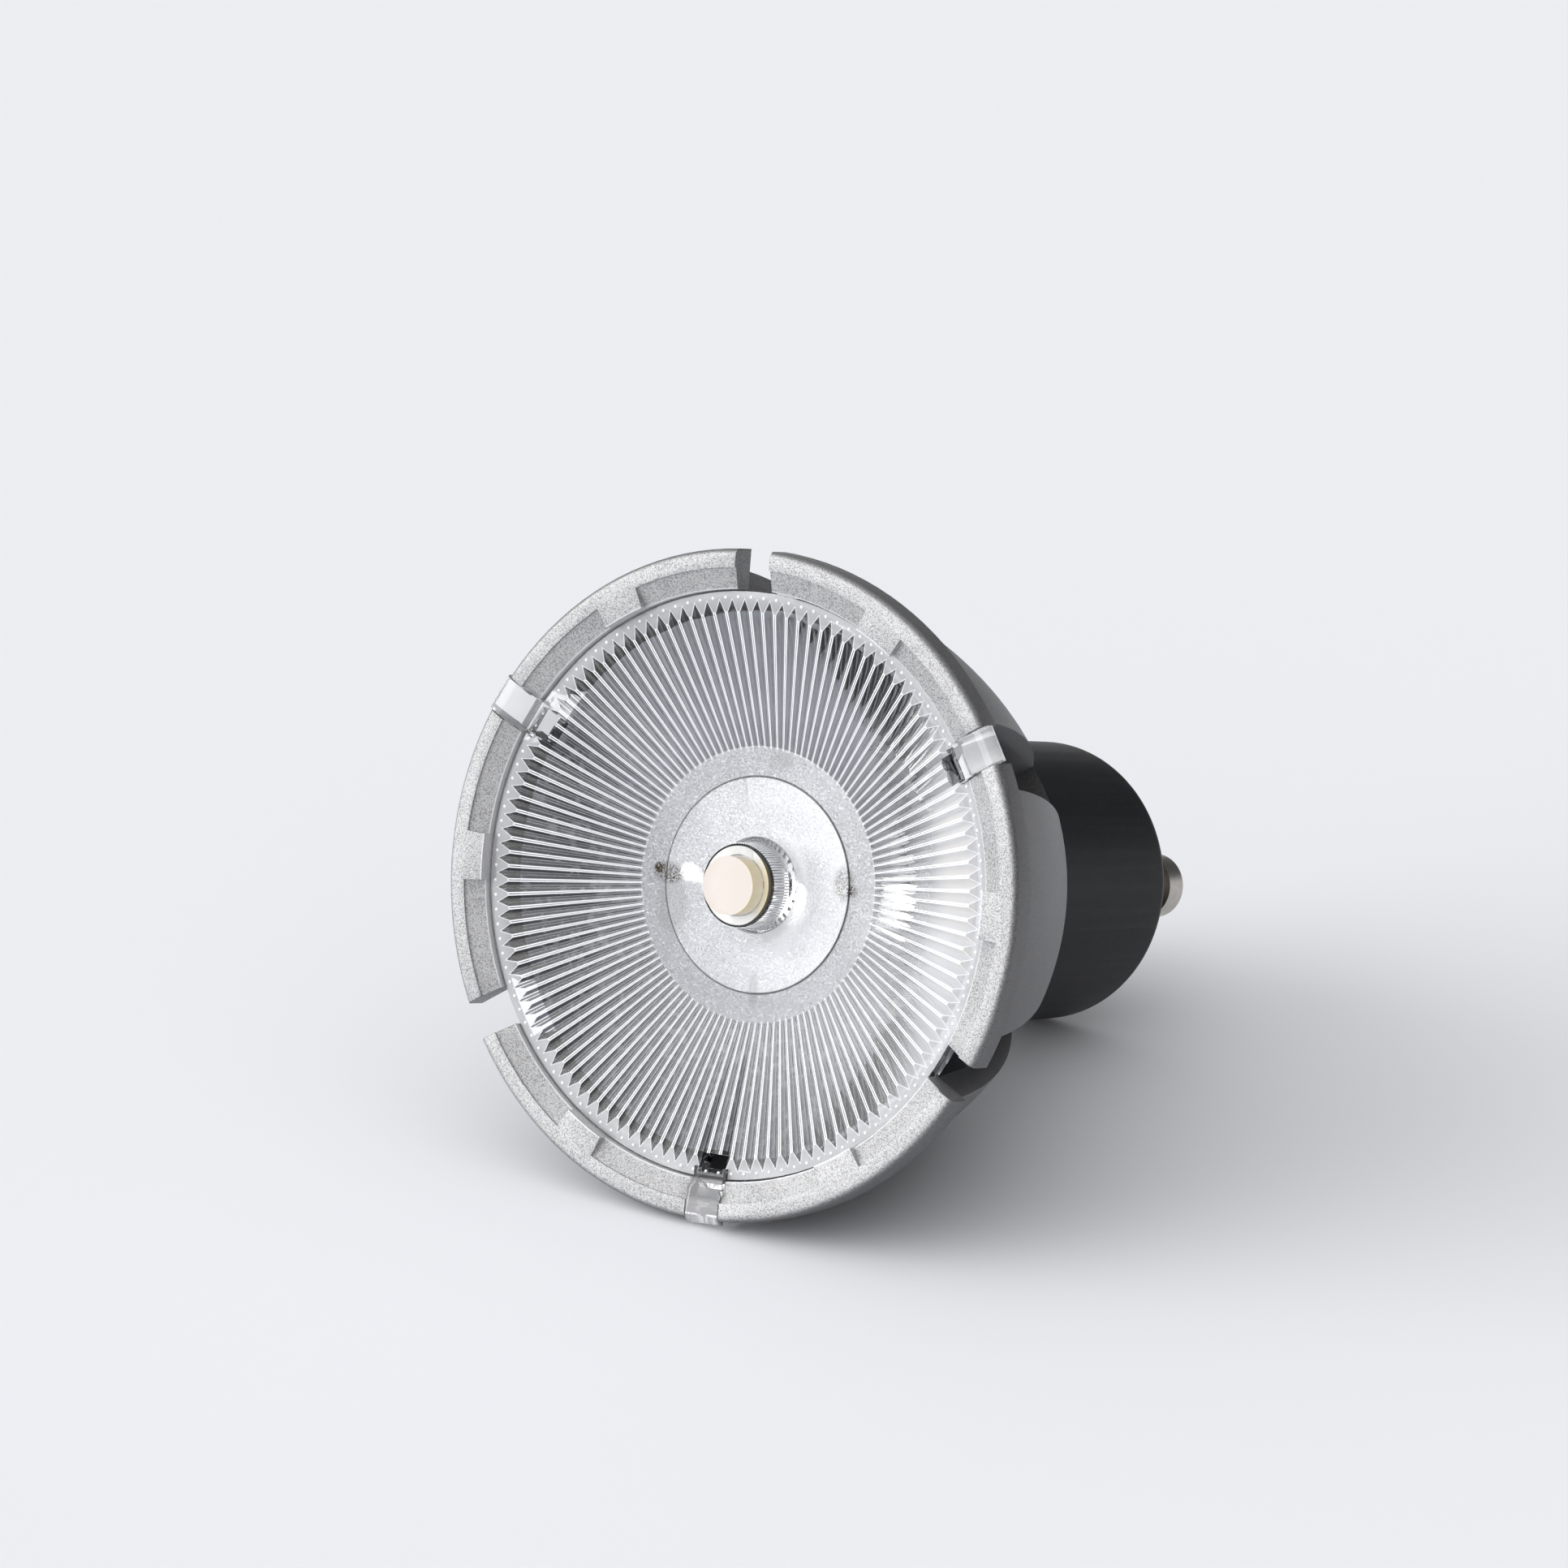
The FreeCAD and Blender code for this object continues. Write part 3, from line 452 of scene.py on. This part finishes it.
# Clear moulding: frosted disc and pip in front, ribs round them, the rest polished
def clearLens():
    sizes = lensSizes
    look = Look("clearLens", IOR=sizes["refraction"], Transmission_Weight=1.0)
    x, y, z = look.split(look.lampPoint())
    radius = look.radius(x, y)
    place = look.ownPoint()
    speck = look.noise(place, sizes["speckPerMm"], 1.0)

    discEdge = lampSizes["discRadius"]
    overDisc = z + lampSizes["discDepth"]
    face = look.step(overDisc, -0.3, -0.2) * (1 - look.step(overDisc, 0.2, 0.3))
    frosted = (1 - look.step(radius, discEdge - 0.1, discEdge)) * face
    frosted = frosted * look.step(radius, *sizes["bossFoot"])
    pipEdge = lampSizes["pipRadius"]
    overBoss = z - sizes["bossTop"]
    pip = (1 - look.step(radius, pipEdge - 0.04, pipEdge)) * look.step(overBoss, 0.02, 0.06)
    frost = frosted.maths("MAXIMUM", pip)
    look.feed("Roughness", frost * sizes["frostRoughness"] + sizes["polish"])
    grain = look.noise(place, sizes["frostPerMm"], 2.0)
    look.feed("Normal", look.bump(grain * frost, 0.9, sizes["frostDepth"]))

    ribLight, groove = ribLines(look, x, y, z, radius)
    shadow = grooveShadow(look, x, y, place, groove)
    # Painted shade: the grooves' dark lines darken the lens's colour
    look.feed("Base Color", look.blend(shadow, (1, 1, 1, 1), sizes["grooveShade"]))
    lensEdge = lampSizes["lensRadius"]
    clip = look.step(radius, lensEdge + 0.05, lensEdge + 0.1) * sizes["clipMilk"]
    # The veil carries the disc's frost, the clips' milk and the ribs' painted highlights and sheen
    veilLayer = frost * sizes["outerMilk"] + discMilkAndLight(look, x, y, radius, place, speck) * frosted
    look.veil((veilLayer + clip + ribLight).maths("MINIMUM", 1.0), sizes["milkAndHighlightColour"])
    white = discMarks(look, x, y, whiteMarks) * frosted * sizes["whiteShare"]
    look.veil(white.maths("MINIMUM", 1.0), sizes["bossWhite"])

    onBoss = look.step(overBoss, -0.25, -0.15)
    bossEdge = sizes["bossRadius"]
    collar = look.step(radius, pipEdge, pipEdge + 0.04) * onBoss
    collar = collar * (1 - look.step(radius, bossEdge - 0.2, bossEdge - 0.1))
    look.veil(collar * sizes["collarMilk"], sizes["bossWhite"])
    # Painted light: a warm glow on the right of the boss's collar
    glow = look.step(x, *sizes["glowEdge"]) * sizes["glowShare"]
    look.veil(collar * glow, sizes["warmGlow"])
    # Painted light: the pip's wall on the right is lit, with less cream and a warm glow
    lit = look.step(radius, *sizes["pipWall"]) * look.step(x, *sizes["pipLit"])
    look.veil(pip * (sizes["pipMilk"] - lit * sizes["pipLitShare"]), sizes["pipCream"])
    look.veil(pip * lit * sizes["glowShare"], sizes["warmGlow"])

    soil = discMarks(look, x, y, darkMarks) * look.step(speck, *sizes["soilSpeck"]) * frosted
    look.veil((soil * sizes["soilShare"]).maths("MINIMUM", 1.0), sizes["soil"])
    ring = look.near(radius, sizes["discRing"], 0.04, 0.07) * frosted * sizes["ringDark"]
    wide = look.step(x, *sizes["rimWide"]) * sizes["rimShadow"] + sizes["rimLine"]
    rim = look.step(radius + wide, bossEdge, bossEdge + 0.06) * onBoss
    rim = rim * (1 - look.step(radius, bossEdge + 0.1, bossEdge + 0.2))
    look.veil((ring + rim).maths("MINIMUM", 1.0) * sizes["lineShare"], sizes["lineShade"])
    return look


plasticSizes = {
    "dark": (0.008, 0.0085, 0.010, 1),
    "light": (0.014, 0.015, 0.017, 1),
    "shine": 0.15,
    "roughness": 0.34,
    "roughnessSwing": 0.14,
    "grainPerMm": 5.0,
    "cloudPerMm": 0.35,
    "grainDepth": 0.03,
}


# Fine matt moulding, a little cloudy
def darkPlastic():
    sizes = plasticSizes
    look = Look("darkPlastic", Specular_IOR_Level=sizes["shine"])
    place = look.ownPoint()
    grain = look.noise(place, sizes["grainPerMm"], 2.0)
    cloud = look.noise(place, sizes["cloudPerMm"], 2.0)
    look.feed("Base Color", look.blend(cloud, sizes["dark"], sizes["light"]))
    look.feed("Roughness", grain * sizes["roughnessSwing"] + sizes["roughness"])
    look.feed("Normal", look.bump(grain, 0.35, sizes["grainDepth"]))
    return look


# Two close colours mixed by a fine grain
def plainLook(name, low, high, roughness, metallic=0.0, grainPerMm=2.0, depth=0.02):
    look = Look(name, Metallic=metallic)
    place = look.ownPoint()
    grain = look.noise(place, grainPerMm, 3.0)
    look.feed("Base Color", look.blend(grain, (*low, 1), (*high, 1)))
    look.feed("Roughness", roughness - 0.05 + grain * 0.1)
    look.feed("Normal", look.bump(grain, 0.3, depth))
    return look


# (look, dark colour, light colour, roughness, metallic, grain per mm, slot, nodes)
plainPieces = [
    ("dullNickel", (0.42, 0.39, 0.35), (0.62, 0.59, 0.55), 0.32, 1.0, 2.0, "nickel_plate",
     ["contact_pin_left", "contact_pin_right"]),
    ("boardFace", (0.78, 0.79, 0.78), (0.85, 0.86, 0.85), 0.45, 0.0, 2.0, "board_aluminium",
     ["led_board"]),
    ("heatPad", (0.3, 0.32, 0.35), (0.4, 0.42, 0.45), 0.7, 0.0, 2.0, "heat_pad", ["thermal_pad"]),
    ("lidPlastic", (0.7, 0.7, 0.67), (0.8, 0.8, 0.77), 0.5, 0.0, 2.0, "white_plastic",
     ["insulating_lid"]),
    ("zincSteel", (0.5, 0.5, 0.5), (0.65, 0.65, 0.65), 0.35, 1.0, 2.0, "zinc_steel",
     ["board_screw_upper", "board_screw_lower"]),
    ("tinnedWire", (0.6, 0.58, 0.55), (0.75, 0.73, 0.7), 0.3, 1.0, 2.0, "tinned_wire",
     ["led_lead_left", "led_lead_right", "input_lead_left", "input_lead_right"]),
    ("ceramic", (0.78, 0.78, 0.76), (0.86, 0.86, 0.84), 0.5, 0.0, 2.0, "ceramic", ["led_base"]),
    ("whiteSilicone", (0.8, 0.8, 0.78), (0.88, 0.88, 0.86), 0.6, 0.0, 2.0, "white_silicone",
     ["led_dam"]),
    ("phosphor", (0.85, 0.66, 0.3), (0.92, 0.76, 0.4), 0.5, 0.0, 8.0, "phosphor",
     ["led_phosphor"]),
    ("circuitBoard", (0.02, 0.12, 0.05), (0.04, 0.18, 0.08), 0.4, 0.0, 2.0, "circuit_board",
     ["driver_board"]),
    ("canSleeve", (0.02, 0.02, 0.025), (0.05, 0.05, 0.06), 0.4, 0.0, 2.0, "capacitor_can",
     ["electrolytic_capacitor"]),
    ("ferriteDrum", (0.03, 0.03, 0.03), (0.06, 0.055, 0.055), 0.55, 0.0, 2.0, "ferrite",
     ["inductor"]),
    ("dippedEpoxy", (0.4, 0.06, 0.03), (0.5, 0.09, 0.04), 0.35, 0.0, 2.0, "epoxy",
     ["film_capacitor"]),
    ("mouldedEpoxy", (0.02, 0.02, 0.02), (0.04, 0.04, 0.04), 0.5, 0.0, 2.0, "black_epoxy",
     ["bridge_rectifier", "driver_chip"]),
    ("resistorGlaze", (0.2, 0.33, 0.38), (0.28, 0.42, 0.46), 0.4, 0.0, 2.0, "resistor_paint",
     ["fuse_resistor"]),
]
dress(castMetal(), "cast_aluminium", "heat_sink", easedBy=0.1)
dress(clearLens(), "clear_plastic", "lens", sharpAngle=33.0)
silveredWhite = plainLook("whiteCup", (0.675, 0.695, 0.76), (0.735, 0.755, 0.82), 0.3, 0.25)
dress(silveredWhite, "white_plastic", "reflector_cup")
dress(darkPlastic(), "anthracite_plastic", "base_shell")
for name, low, high, roughness, metallic, grainPerMm, slotName, pieces in plainPieces:
    dress(plainLook(name, low, high, roughness, metallic, grainPerMm), slotName, *pieces)
print("materials")


# A node tree that repeats a small form; its sizes are inputs, set on the modifier by identifier.
class Pattern:
    def __init__(self, name, **sizes):
        self.name = name
        self.sizes = sizes
        self.tree = bpy.data.node_groups.new(name, "GeometryNodeTree")
        self.keys = {}
        for label, value in sizes.items():
            kind = "NodeSocketInt" if isinstance(value, int) else "NodeSocketFloat"
            socket = self.tree.interface.new_socket(name=label, in_out="INPUT", socket_type=kind)
            self.keys[label] = socket.identifier
        self.tree.interface.new_socket(
            name="Geometry", in_out="OUTPUT", socket_type="NodeSocketGeometry")
        self.given = self.tree.nodes.new("NodeGroupInput")

    def size(self, label):
        return self.given.outputs[label]

    def add(self, kind, settings=None, sockets=None, output=0):
        node = self.tree.nodes.new(kind)
        for name, value in (settings or {}).items():
            setattr(node, name, value)
        for name, value in (sockets or {}).items():
            if isinstance(value, bpy.types.NodeSocket):
                self.tree.links.new(value, node.inputs[name])
            else:
                node.inputs[name].default_value = value
        return node.outputs[output]

    # Puts the form at a place in the part's frame, makes it a plain mesh and hands it to the frame.
    def make(self, geometry, place, turn, look):
        placed = self.add("GeometryNodeTransform", None, {
            "Geometry": geometry, "Translation": place, "Rotation": turn.to_euler("XYZ")})
        whole = self.add("GeometryNodeRealizeInstances", None, {0: placed})
        painted = self.add("GeometryNodeSetMaterial", None, {
            "Geometry": whole, "Material": look.material})
        end = self.tree.nodes.new("NodeGroupOutput")
        self.tree.links.new(painted, end.inputs[0])
        piece = bpy.data.objects.new(self.name, bpy.data.meshes.new(self.name))
        bpy.context.collection.objects.link(piece)
        modifier = piece.modifiers.new(self.name, "NODES")
        modifier.node_group = self.tree
        for label, value in self.sizes.items():
            modifier[self.keys[label]] = value
        graph = bpy.context.evaluated_depsgraph_get()
        piece.data = bpy.data.meshes.new_from_object(piece.evaluated_get(graph))
        piece.modifiers.clear()
        piece.data.shade_smooth()
        piece.data.set_sharp_from_angle(angle=math.radians(40))
        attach(piece, "root")


windingSizes = {"turns": 9, "pitch": 0.34, "wire": 0.15, "radius": 2.08}


# Enamelled copper turns in the waist of the choke's drum
def makeWinding():
    low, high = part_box("inductor")
    middle = (Vector(low) + Vector(high)) / 2
    sizes = windingSizes
    pattern = Pattern("choke_winding", Turns=sizes["turns"], Pitch=sizes["pitch"] * mm,
                      Wire=sizes["wire"] * mm, Radius=sizes["radius"] * mm)
    path = pattern.add("GeometryNodeCurvePrimitiveCircle", None, {
        "Resolution": 40, "Radius": pattern.size("Radius")})
    wire = pattern.add("GeometryNodeCurvePrimitiveCircle", None, {
        "Resolution": 8, "Radius": pattern.size("Wire")})
    ring = pattern.add("GeometryNodeCurveToMesh", None, {"Curve": path, "Profile Curve": wire})
    step = pattern.add("ShaderNodeCombineXYZ", None, {"Z": pattern.size("Pitch")})
    start = (0, 0, -(sizes["turns"] - 1) / 2 * sizes["pitch"] * mm)
    line = pattern.add("GeometryNodeMeshLine", {"mode": "OFFSET"}, {
        "Count": pattern.size("Turns"), "Start Location": start, "Offset": step})
    turns = pattern.add("GeometryNodeInstanceOnPoints", None, {"Points": line, "Instance": ring})
    copper = plainLook("copperWinding", (0.5, 0.2, 0.08), (0.75, 0.35, 0.16), 0.35, 1.0)
    upright = lampTurn @ Matrix.Rotation(math.radians(-90), 3, "X")
    pattern.make(turns, middle, upright, copper)


milkyBead = plainLook("milkyBead", (0.86, 0.87, 0.89), (0.93, 0.94, 0.95), 0.2)
beadSizes = {"ringRadius": 21.42, "radius": 0.13, "height": 0.5}
ridgeSizes = {"count": 90, "ringRadius": 3.15, "radius": 0.05, "length": 1.9, "middle": -2.6}


# Small moulded beads on the lens's flange, one where each rib's crest ends
def makeFlangeBeads():
    pattern = Pattern("flange_beads", Count=lensSizes["ribCount"],
                      Radius=beadSizes["ringRadius"] * mm, Bead=beadSizes["radius"] * mm)
    ring = pattern.add("GeometryNodeMeshCircle", None, {
        "Vertices": pattern.size("Count"), "Radius": pattern.size("Radius")})
    bead = pattern.add("GeometryNodeMeshIcoSphere", None, {
        "Radius": pattern.size("Bead"), "Subdivisions": 2})
    beads = pattern.add("GeometryNodeInstanceOnPoints", None, {
        "Points": ring, "Instance": bead, "Scale": (1, 1, beadSizes["height"])})
    halfPitch = Matrix.Rotation(math.pi / lensSizes["ribCount"], 3, "Z")
    place = lampPoint(0, 0, -lensSizes["flangeDepth"])
    pattern.make(beads, place, lampTurn @ halfPitch, milkyBead)


# Fine upright ridges round the boss's wall
def makeBossRidges():
    sizes = ridgeSizes
    pattern = Pattern("boss_ridges", Count=sizes["count"], Ring=sizes["ringRadius"] * mm,
                      Radius=sizes["radius"] * mm, Length=sizes["length"] * mm)
    ring = pattern.add("GeometryNodeMeshCircle", None, {
        "Vertices": pattern.size("Count"), "Radius": pattern.size("Ring")})
    ridge = pattern.add("GeometryNodeMeshCylinder", None, {
        "Vertices": 8, "Radius": pattern.size("Radius"), "Depth": pattern.size("Length")})
    ridges = pattern.add("GeometryNodeInstanceOnPoints", None, {
        "Points": ring, "Instance": ridge})
    place = lampPoint(0, 0, sizes["middle"])
    pattern.make(ridges, place, lampTurn, milkyBead)


makeWinding()
makeFlangeBeads()
makeBossRidges()
print("repeated pieces")

# Camera: a long lens, fitted to the rim's outline, the base and the pin in a 1932 x 1932 image.
cameraSizes = {
    "azimuth": 34.23,
    "elevation": 21.45,
    "distance": 698.89 * mm,
    "rimOffset": (-4.24 * mm, -7.53 * mm),
    "focalPixels": 11618.5,
    "imagePixels": 1932,
    "sensor": 36.0,
}


def cameraAxes():
    turn = math.radians(cameraSizes["azimuth"])
    lift = math.radians(cameraSizes["elevation"])
    right = Vector((math.cos(turn), math.sin(turn), 0))
    level = math.cos(lift)
    back = Vector((math.sin(turn) * level, -math.cos(turn) * level, math.sin(lift)))
    return right, back.cross(right), back


def makeCamera():
    right, up, back = cameraAxes()
    acrossRim, upRim = cameraSizes["rimOffset"]
    place = rimCentre - right * acrossRim - up * upRim + back * cameraSizes["distance"]
    data = bpy.data.cameras.new("camera")
    data.sensor_width = cameraSizes["sensor"]
    data.lens = cameraSizes["sensor"] * cameraSizes["focalPixels"] / cameraSizes["imagePixels"]
    data.clip_start = 0.01
    camera = bpy.data.objects.new("camera", data)
    turn = Matrix((right, up, back)).transposed().to_4x4()
    camera.matrix_world = Matrix.Translation(place) @ turn
    bpy.context.collection.objects.link(camera)
    bpy.context.scene.camera = camera


makeCamera()

lightSizes = {
    "domeDark": 0.03,
    "domeBright": 1.0,
    "domeFrom": (-0.1, 0.7),
    "domeTurn": 20.0,
    "domeLift": 65.0,
    "stripBright": 3.5,
    "stripFrom": (0.75, 0.95),
    "stripTurn": 10.0,
    "stripLift": 12.0,
    "floorColour": (0.80, 0.81, 0.845, 1),
    "floorHalf": 4.0,
}


def makeFloor():
    half = lightSizes["floorHalf"]
    mesh = bpy.data.meshes.new("floor")
    corners = [(-half, -half, 0), (half, -half, 0), (half, half, 0), (-half, half, 0)]
    mesh.from_pydata(corners, [], [(0, 1, 2, 3)])
    floor = bpy.data.objects.new("floor", mesh)
    bpy.context.collection.objects.link(floor)
    look = Look("floorPaper", Roughness=0.9, Specular_IOR_Level=0.1,
                Base_Color=lightSizes["floorColour"])
    mesh.materials.append(look.material)


# A direction on the camera's left, turned towards the camera and lifted, in degrees
def leftward(turn, lift):
    right, up, back = cameraAxes()
    turn, lift = math.radians(turn), math.radians(lift)
    towards = Vector((back.x, back.y, 0)).normalized()
    level = towards * math.sin(turn) - right * math.cos(turn)
    return level * math.cos(lift) + Vector((0, 0, math.sin(lift)))


# A soft dome, bright above and on the camera's left, dark on its right, with a wide strip light low
# on the left.
def makeWorld():
    world = bpy.data.worlds.new("studio")
    world.use_nodes = True
    bpy.context.scene.world = world
    tree = world.node_tree
    shader = tree.nodes["Background"]
    shader.inputs["Color"].default_value = (1, 1, 1, 1)
    place = tree.nodes.new("ShaderNodeTexCoord")

    def glow(way, reach, low, high):
        side = tree.nodes.new("ShaderNodeVectorMath")
        side.operation = "DOT_PRODUCT"
        side.inputs[1].default_value = way
        ramp = tree.nodes.new("ShaderNodeMapRange")
        ramp.interpolation_type = "SMOOTHSTEP"
        for name, value in zip(("From Min", "From Max", "To Min", "To Max"), (*reach, low, high)):
            ramp.inputs[name].default_value = value
        tree.links.new(place.outputs["Generated"], side.inputs[0])
        tree.links.new(side.outputs["Value"], ramp.inputs["Value"])
        return ramp.outputs["Result"]

    sizes = lightSizes
    dome = glow(leftward(sizes["domeTurn"], sizes["domeLift"]), sizes["domeFrom"],
                sizes["domeDark"], sizes["domeBright"])
    strip = glow(leftward(sizes["stripTurn"], sizes["stripLift"]), sizes["stripFrom"],
                 0.0, sizes["stripBright"])
    both = tree.nodes.new("ShaderNodeMath")
    both.operation = "ADD"
    tree.links.new(dome, both.inputs[0])
    tree.links.new(strip, both.inputs[1])
    tree.links.new(both.outputs[0], shader.inputs["Strength"])


makeFloor()
makeWorld()
bpy.context.scene.view_settings.view_transform = "Standard"
print("camera, floor and light")
